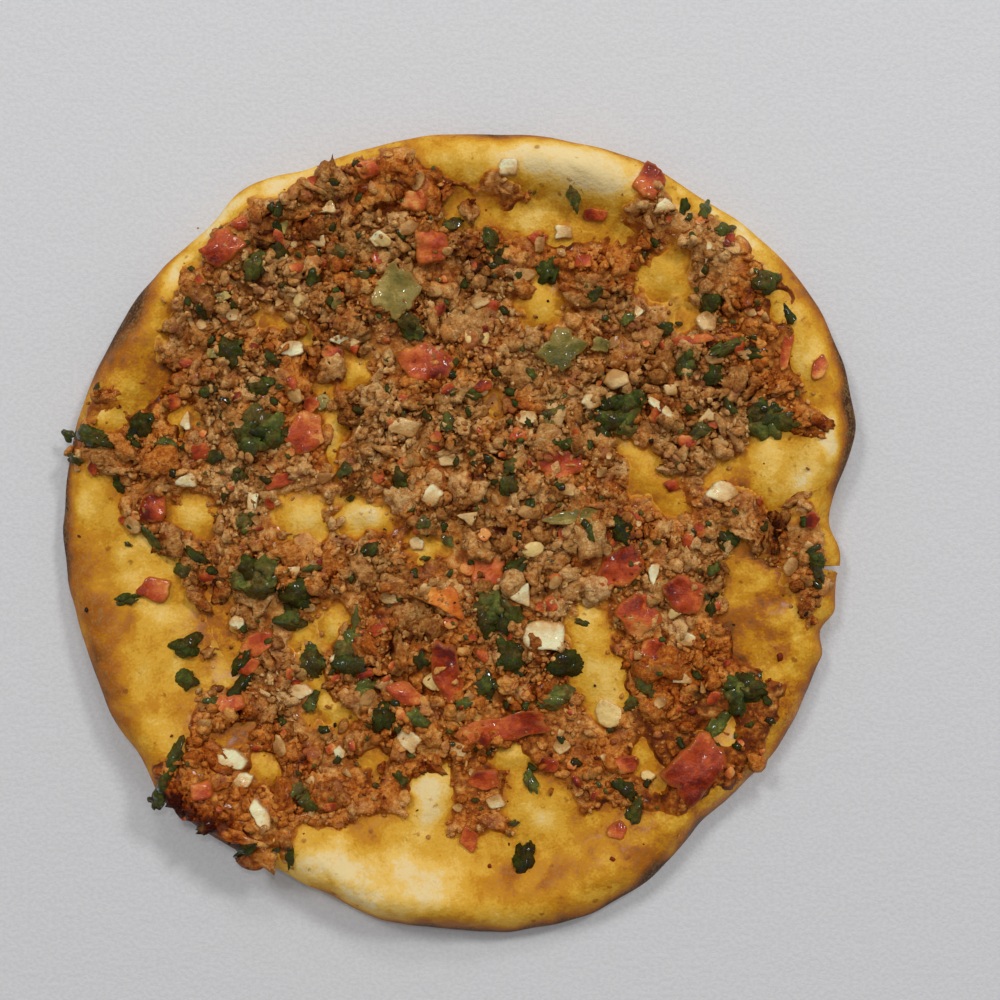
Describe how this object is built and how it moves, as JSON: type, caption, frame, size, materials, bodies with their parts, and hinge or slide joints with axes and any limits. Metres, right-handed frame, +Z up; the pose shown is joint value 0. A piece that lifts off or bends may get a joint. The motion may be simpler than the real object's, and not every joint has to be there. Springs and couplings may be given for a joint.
{
  "type": "lahmacun",
  "caption": "Small round flatbread with an uneven raised rim, baked under a thin layer of minced meat with chopped tomato, pepper, onion and parsley.",
  "frame": {"origin": "middle of the bread's box on the surface it rests on", "axes": "+Z up from the table through the bread and its topping; +X and +Y across the bread, with the torn rim near +X"},
  "size_m": [0.15, 0.1518, 0.0143],
  "materials": {
    "bread": "baked wheat dough, pale gold, browned and blistered in places, oily near the mince; stands in for food",
    "mince": "cooked minced meat with spice and oil, brown, crumbly, half wet; stands in for food",
    "tomato": "roasted chopped tomato, red to orange, wet; stands in for food",
    "pepper_red": "roasted red and orange pepper, wet; stands in for food",
    "pepper_green": "roasted green pepper, olive, wet; stands in for food",
    "onion": "roasted chopped onion, cream, slightly see-through; stands in for food",
    "parsley": "roasted chopped parsley, dark green; stands in for food"
  },
  "bodies": {
    "root": {"flatbread": "bread", "mince": "mince", "tomato_wedge": "tomato", "tomato_square": "tomato", "tomato_upper_left": "tomato", "tomato_top": "tomato", "tomato_flesh_top": "tomato", "tomato_long": "tomato", "tomato_dark": "tomato", "tomato_pink": "tomato", "tomato_mash": "tomato", "tomato_middle": "tomato", "tomato_centre": "tomato", "tomato_left": "tomato", "tomato_skin": "tomato", "red_pepper_strip": "pepper_red", "orange_pepper": "pepper_red", "green_pepper_large": "pepper_green", "green_pepper_small": "pepper_green", "onion_slab": "onion", "parsley_right": "parsley", "parsley_left": "parsley", "parsley_lower_left": "parsley", "parsley_centre": "parsley", "parsley_leaf": "parsley", "parsley_upper_right": "parsley"}
  },
  "joints": []
}
